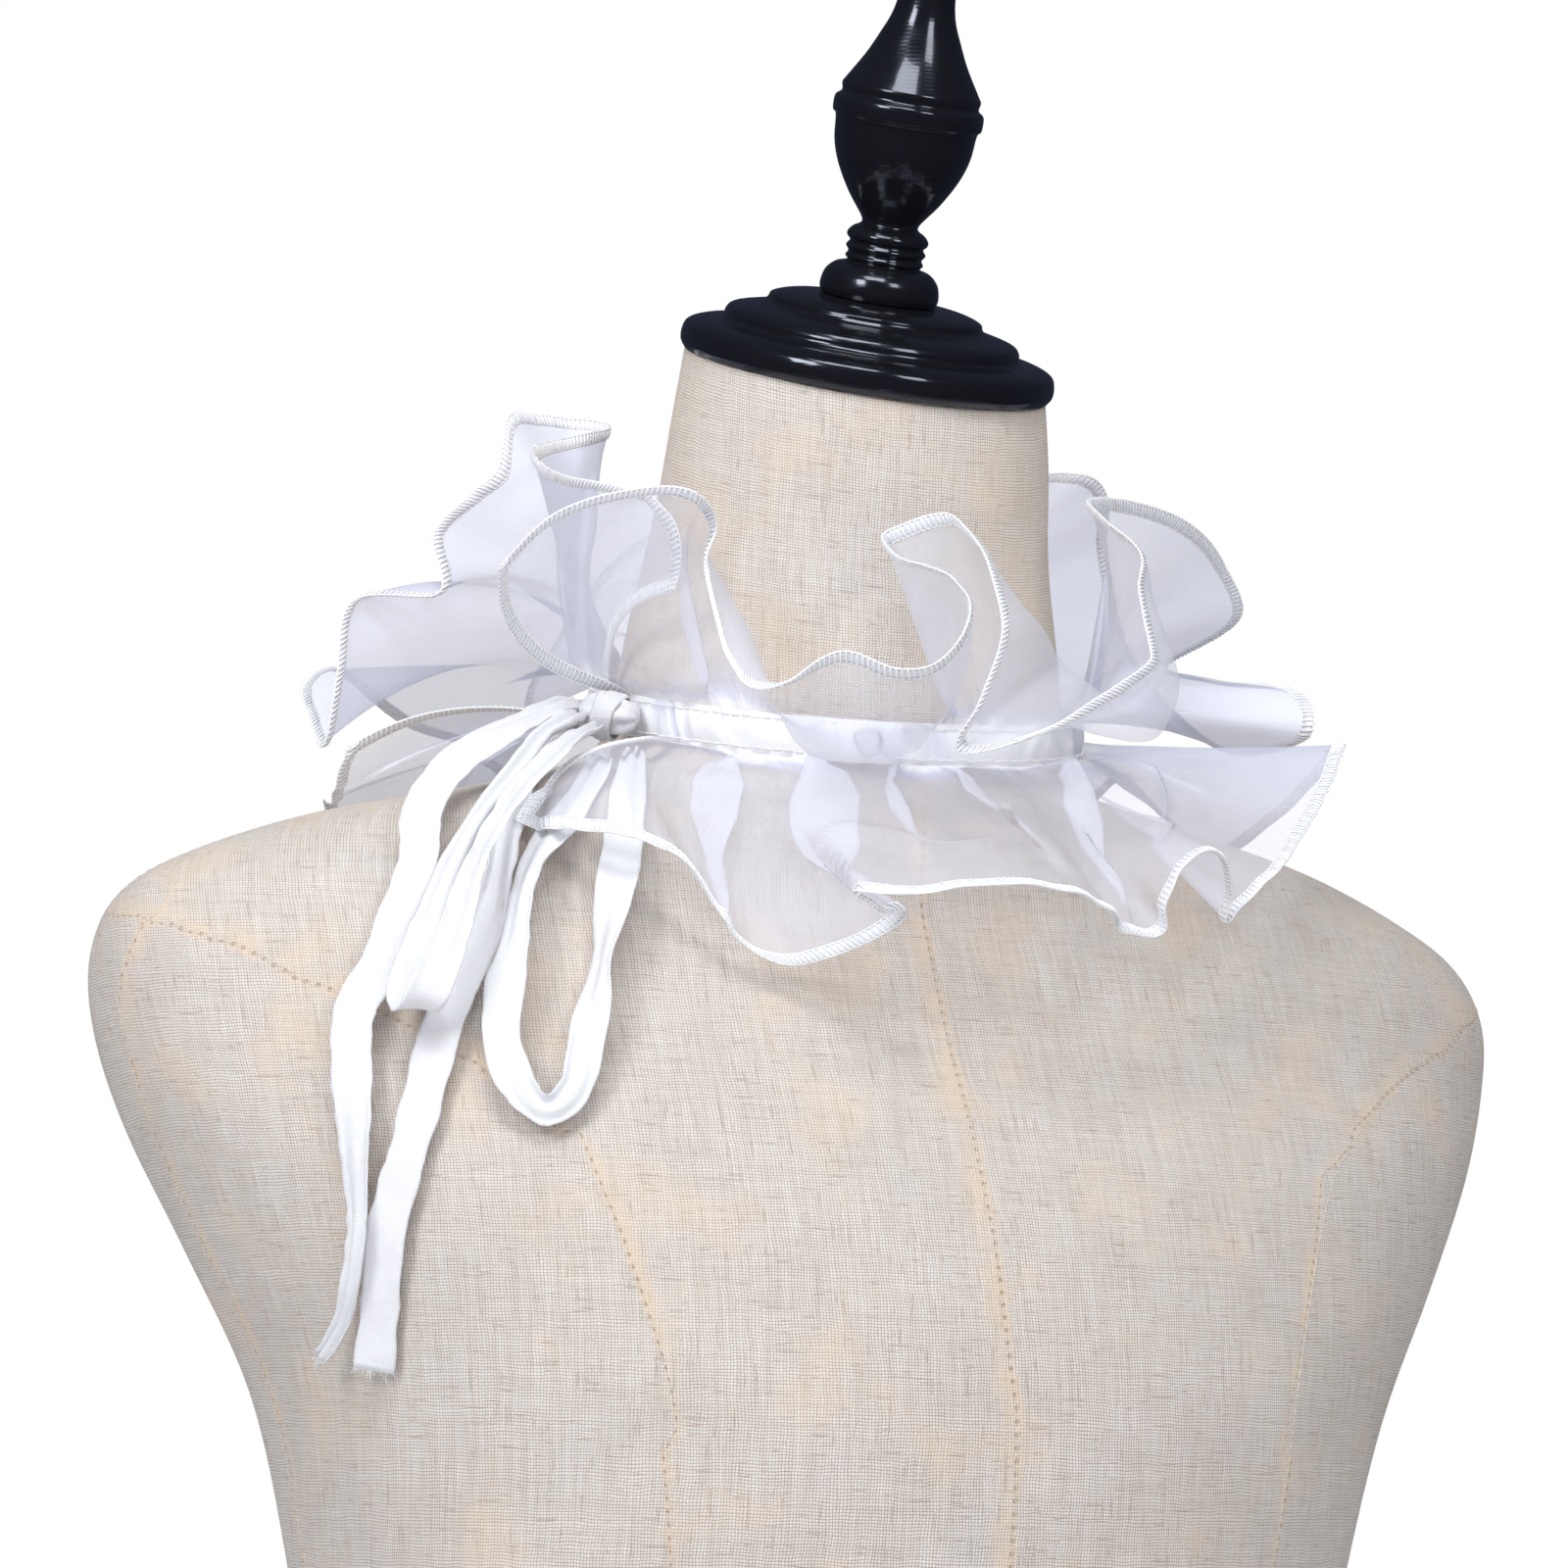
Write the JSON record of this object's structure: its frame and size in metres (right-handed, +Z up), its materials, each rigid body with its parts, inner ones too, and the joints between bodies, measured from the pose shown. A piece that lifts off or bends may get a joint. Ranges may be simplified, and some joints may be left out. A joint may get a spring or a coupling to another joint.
{
  "type": "ruff collar on a dress form",
  "caption": "Sheer organza ruff collar, gathered on a drawstring tape tied in a bow at one side, on a limbless linen dress form with a turned wooden neck cap and finial.",
  "frame": {"origin": "middle of the dress form's flat underside", "axes": "+Z up; the form faces -Y, so the wearer's left is +X"},
  "size_m": [0.386, 0.258, 0.6737],
  "materials": {
    "linen": "natural linen with slubs, matt",
    "black_wood": "turned wood in gloss black lacquer",
    "organza": "sheer crisp organza, overlocked along its edges",
    "cotton_tape": "soft woven cotton tape, matt"
  },
  "bodies": {
    "root": {"torso": "linen", "neck_cap": "black_wood", "finial": "black_wood", "upper_ruffle": "organza", "lower_ruffle": "organza", "casing": "organza", "drawn_tape": "cotton_tape", "knot": "cotton_tape", "outer_tail": "cotton_tape", "inner_tail": "cotton_tape", "outer_loop": "cotton_tape", "inner_loop": "cotton_tape"}
  },
  "joints": []
}
